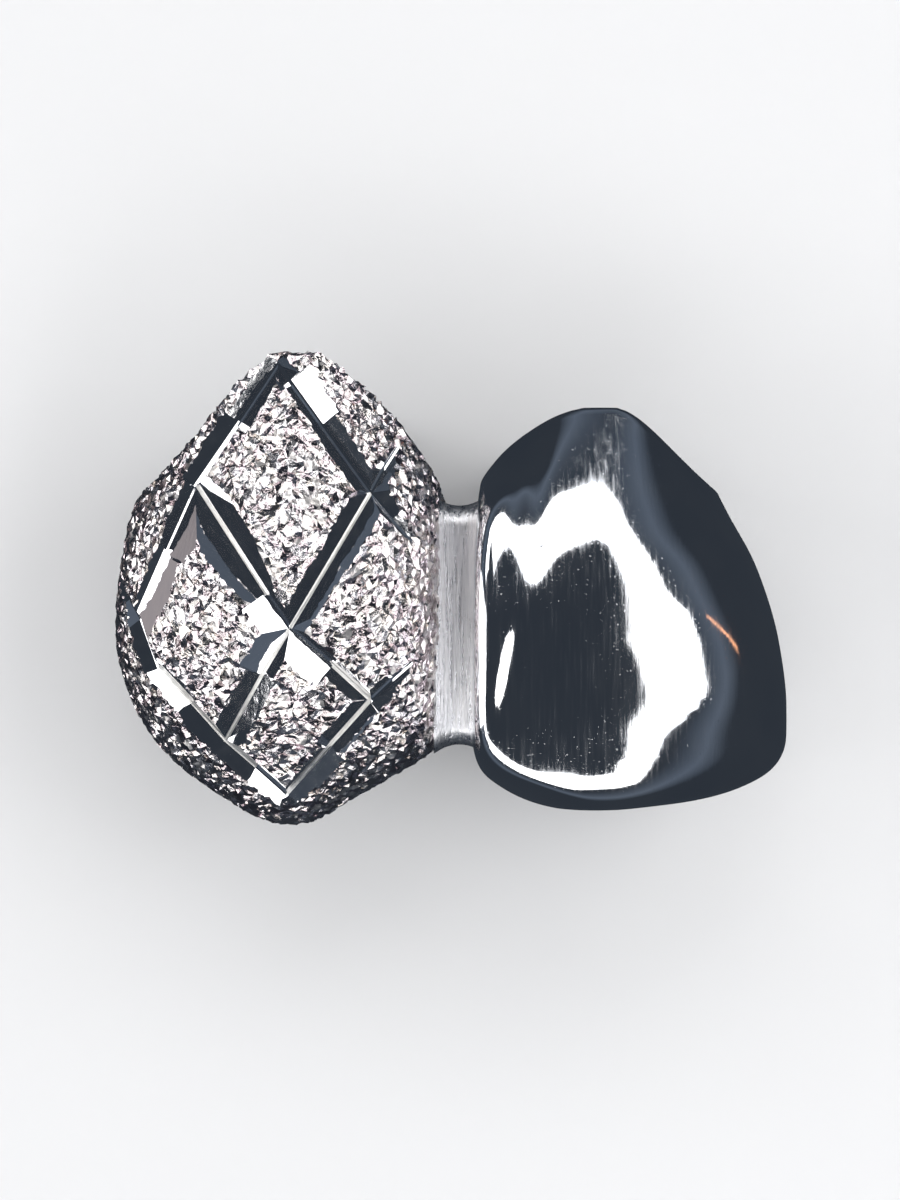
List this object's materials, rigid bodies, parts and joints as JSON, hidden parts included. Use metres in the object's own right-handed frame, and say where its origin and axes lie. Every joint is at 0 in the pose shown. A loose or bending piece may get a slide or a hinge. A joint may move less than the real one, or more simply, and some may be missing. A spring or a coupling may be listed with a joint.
{
  "type": "grillz tooth cover for a canine and the premolar beside it",
  "caption": "Joined tooth caps: a diamond-dusted canine cap with a bright-cut lattice, soldered to a mirror-polished premolar cap.",
  "frame": {"origin": "middle of the base, on the surface that the backs of the two caps lie on", "axes": "+X along the tooth row from the canine to the premolar, +Y towards the gums and the open rims, +Z out of the front faces"},
  "size_m": [0.0162, 0.0114, 0.0092],
  "materials": {
    "sterling_silver": "mirror polished, with diamond-dusted fields between bright cuts on the canine's front"
  },
  "bodies": {
    "root": {"tooth_caps": "sterling_silver"}
  },
  "joints": []
}
